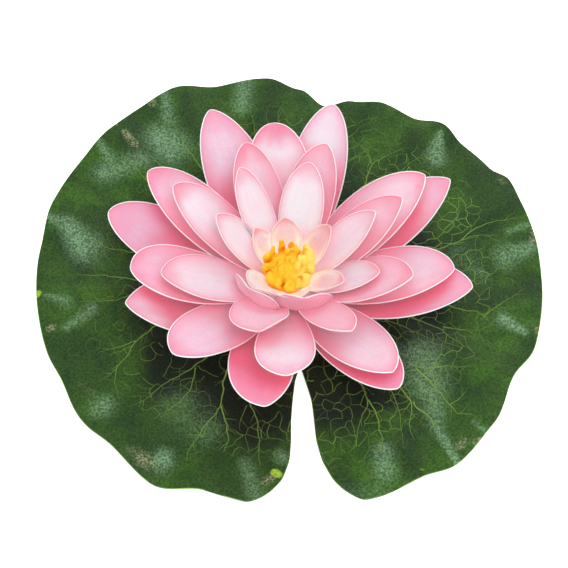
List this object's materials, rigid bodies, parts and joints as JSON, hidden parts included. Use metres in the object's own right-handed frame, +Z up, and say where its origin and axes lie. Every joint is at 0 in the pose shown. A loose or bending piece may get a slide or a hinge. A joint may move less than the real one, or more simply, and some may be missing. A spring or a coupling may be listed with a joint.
{
  "type": "artificial water lily flower on a lily pad",
  "caption": "Open pink foam water lily with layered cupped petals and a yellow stamen tuft, fixed on a round, waved green lily pad with a front slot.",
  "frame": {"origin": "centre of the flat underside of the peg's flange, on the flower's axis", "axes": "+Z up along the flower's axis; -Y towards the pad's slot, which is the front; +X to the right seen from the front"},
  "size_m": [0.2789, 0.2736, 0.0613],
  "materials": {
    "pad_foam": "satin, printed with a net of veins",
    "petal_outer": "satin foam with a white cut edge",
    "petal_second": "satin foam with a white cut edge",
    "petal_third": "satin foam with a white cut edge",
    "petal_fourth": "satin foam with a white cut edge",
    "petal_inner": "satin foam, cream at the base and salmon at the tip",
    "tuft_foam": "matte foam",
    "peg_plastic": "matte moulded plastic"
  },
  "bodies": {
    "root": {"fixing_peg": "peg_plastic", "lily_pad": "pad_foam", "petals_outer": "petal_outer", "petals_second": "petal_second", "petals_third": "petal_third", "petals_fourth": "petal_fourth", "petals_inner": "petal_inner", "stamen_tuft": "tuft_foam"}
  },
  "joints": []
}
